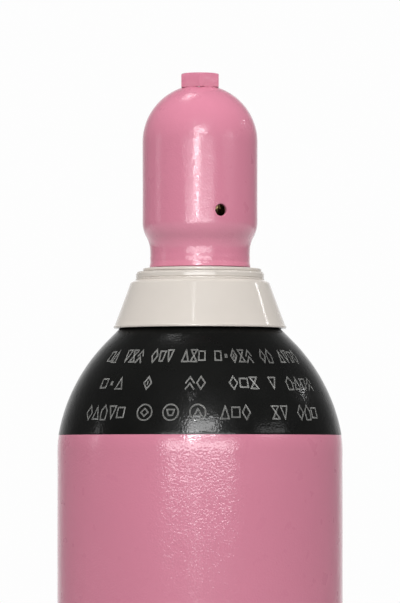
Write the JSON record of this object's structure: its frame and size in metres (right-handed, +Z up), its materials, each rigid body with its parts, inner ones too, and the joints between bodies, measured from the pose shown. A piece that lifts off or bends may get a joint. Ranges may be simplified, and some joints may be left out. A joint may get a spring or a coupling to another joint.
{
  "type": "gas cylinder",
  "caption": "Tall steel industrial gas cylinder with a screwed-on closed valve cap, a conical plastic neck collar and a handwheel valve under the cap.",
  "frame": {"origin": "centre of the standing rim, on the surface the cylinder stands on", "axes": "+Z up along the cylinder axis, +X towards the valve outlet, -Y the front, near which one cap vent hole opens"},
  "size_m": [0.267, 0.2668, 1.6338],
  "materials": {
    "pink_paint": "gloss, slight orange peel",
    "black_paint": "gloss, slight orange peel",
    "collar_plastic": "moulded, satin gloss",
    "ring_steel": "zinc plated",
    "valve_brass": "forged and machined",
    "white_polymer": "plain moulded",
    "seal_rubber": "matt",
    "wheel_plastic": "fine moulded grain"
  },
  "bodies": {
    "cylinder": {"cylinder_shell": "pink_paint", "neck_ring": "ring_steel", "thread_seal": "white_polymer", "valve_body": "valve_brass", "slip_washer": "white_polymer", "spindle_o_ring": "seal_rubber", "backup_ring": "white_polymer", "gland_gasket": "white_polymer", "gland_nut": "valve_brass"},
    "cap": {"cap_shell": "pink_paint", "cap_hex_boss": "pink_paint"},
    "collar": {"collar_skirt": "collar_plastic", "collar_lock_ring": "collar_plastic"},
    "top_ring": {"collar_top_ring": "collar_plastic"},
    "spindle": {"upper_spindle": "valve_brass", "handwheel": "wheel_plastic", "handwheel_spring": "ring_steel", "handwheel_washer": "ring_steel", "handwheel_nut": "ring_steel"},
    "plug": {"lower_spindle": "valve_brass", "valve_seat": "white_polymer"}
  },
  "joints": [
    {"name": "cap_lift", "type": "slide", "parent": "cylinder", "child": "cap", "axis": [0, 0, 1], "range_m": [0, 0.25]},
    {"name": "collar_turn", "type": "hinge", "parent": "cylinder", "child": "collar", "pos_m": [0, 0, 1.43], "axis": [0, 0, 1], "continuous": true},
    {"name": "top_ring_turn", "type": "hinge", "parent": "cylinder", "child": "top_ring", "pos_m": [0, 0, 1.449], "axis": [0, 0, 1], "continuous": true},
    {"name": "handwheel_turn", "type": "hinge", "parent": "cylinder", "child": "spindle", "pos_m": [0, 0, 1.556], "axis": [0, 0, 1], "range_deg": [0, 900]},
    {"name": "plug_lift", "type": "slide", "parent": "spindle", "child": "plug", "axis": [0, 0, 1], "range_m": [0, 0.0038]}
  ],
  "couplings": [
    {"joint": "plug_lift", "follows": "handwheel_turn", "m_per_rad": 0.00023873}
  ]
}
